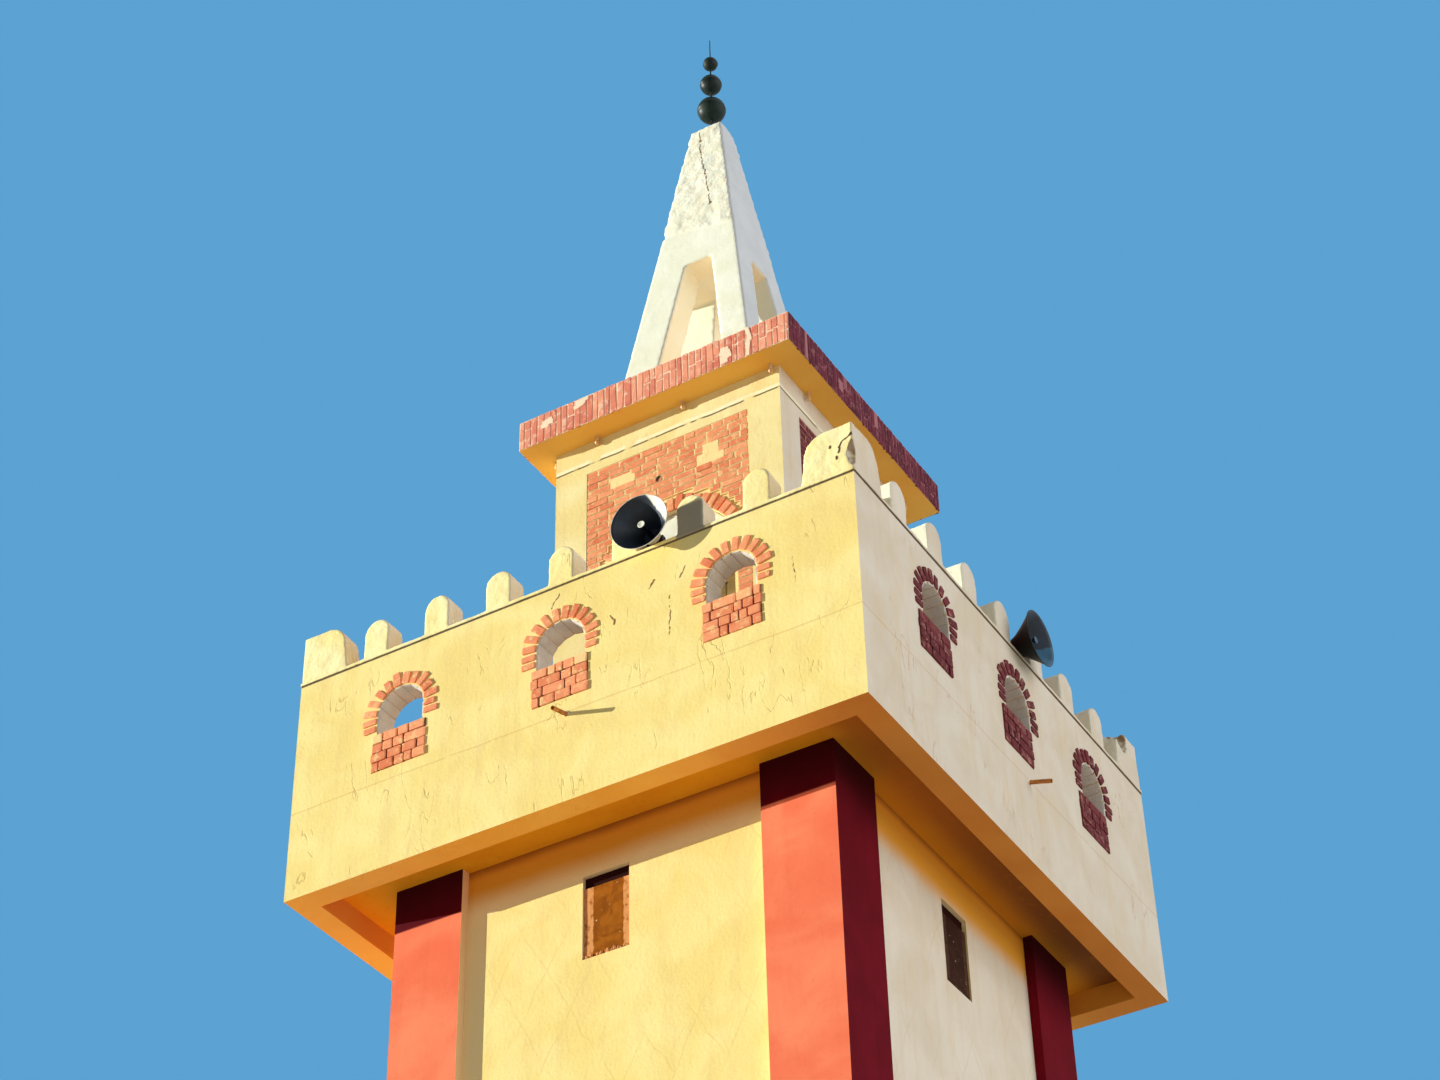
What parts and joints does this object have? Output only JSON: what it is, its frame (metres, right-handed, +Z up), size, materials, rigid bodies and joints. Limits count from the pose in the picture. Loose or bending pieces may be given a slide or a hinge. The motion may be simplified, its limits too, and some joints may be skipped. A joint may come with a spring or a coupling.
{
  "type": "minaret",
  "caption": "Square plastered minaret: shaft with red corner piers, overhanging pierced gallery with merlons, smaller brick-panelled upper stage, open white spire with ball finial.",
  "frame": {"origin": "centre of the footprint, on the underside of the ground floor, at ground level", "axes": "+Z up; -Y is the front, with the door of the upper stage; +X is the right side"},
  "size_m": [5.3752, 5.3894, 25.525],
  "materials": {
    "yellow_plaster": "painted plaster, matt, finely cracked",
    "red_plaster": "painted plaster, matt",
    "white_plaster": "limewashed plaster, matt, patched",
    "soffit_plaster": "painted plaster, matt",
    "red_brick": "fired brick, painted over in places",
    "concrete": "bare concrete",
    "brown_timber": "weathered boards",
    "olive_paint": "worn paint",
    "rusty_pipe": "rusted",
    "green_paint": "semi-gloss paint",
    "horn_shell": "sun-bleached enamel, dark inside",
    "dark_metal": "satin"
  },
  "bodies": {
    "root": {"ground_floor": "concrete", "corner_pier_front_left": "red_plaster", "corner_pier_front_right": "red_plaster", "corner_pier_back_right": "red_plaster", "corner_pier_back_left": "red_plaster", "shaft_wall_front": "yellow_plaster", "shaft_wall_right": "yellow_plaster", "shaft_wall_back": "yellow_plaster", "shaft_wall_back_beside_door_1": "yellow_plaster", "shaft_wall_back_beside_door_2": "yellow_plaster", "shaft_wall_left": "yellow_plaster", "window_board_front_upper": "brown_timber", "window_board_front_lower": "brown_timber", "window_board_right_upper": "brown_timber", "window_board_right_lower": "brown_timber", "window_board_back_upper": "brown_timber", "window_board_back_lower": "brown_timber", "window_board_left_upper": "brown_timber", "window_board_left_lower": "brown_timber", "gallery_floor": "soffit_plaster", "parapet_front": "yellow_plaster", "parapet_right": "yellow_plaster", "parapet_back": "yellow_plaster", "parapet_left": "yellow_plaster", "merlon_row_front": "yellow_plaster", "merlon_row_right": "yellow_plaster", "merlon_row_back": "yellow_plaster", "merlon_row_left": "yellow_plaster", "corner_merlon_front_left": "yellow_plaster", "corner_merlon_front_right": "yellow_plaster", "corner_merlon_back_right": "yellow_plaster", "corner_merlon_back_left": "yellow_plaster", "spout_front": "rusty_pipe", "spout_right": "rusty_pipe", "spout_back": "rusty_pipe", "spout_left": "rusty_pipe", "upper_wall_front": "yellow_plaster", "upper_wall_right": "yellow_plaster", "upper_wall_back": "yellow_plaster", "upper_wall_left": "yellow_plaster", "upper_door": "olive_paint", "roof_slab": "red_brick", "spire": "white_plaster", "finial_rod": "green_paint", "finial_ball_large": "green_paint", "finial_ball_middle": "green_paint", "finial_ball_small": "green_paint", "horn_front_bell": "horn_shell", "horn_front_driver": "dark_metal", "horn_front_bracket": "dark_metal", "horn_right_bell": "horn_shell", "horn_right_driver": "dark_metal", "horn_right_bracket": "dark_metal"}
  },
  "joints": []
}
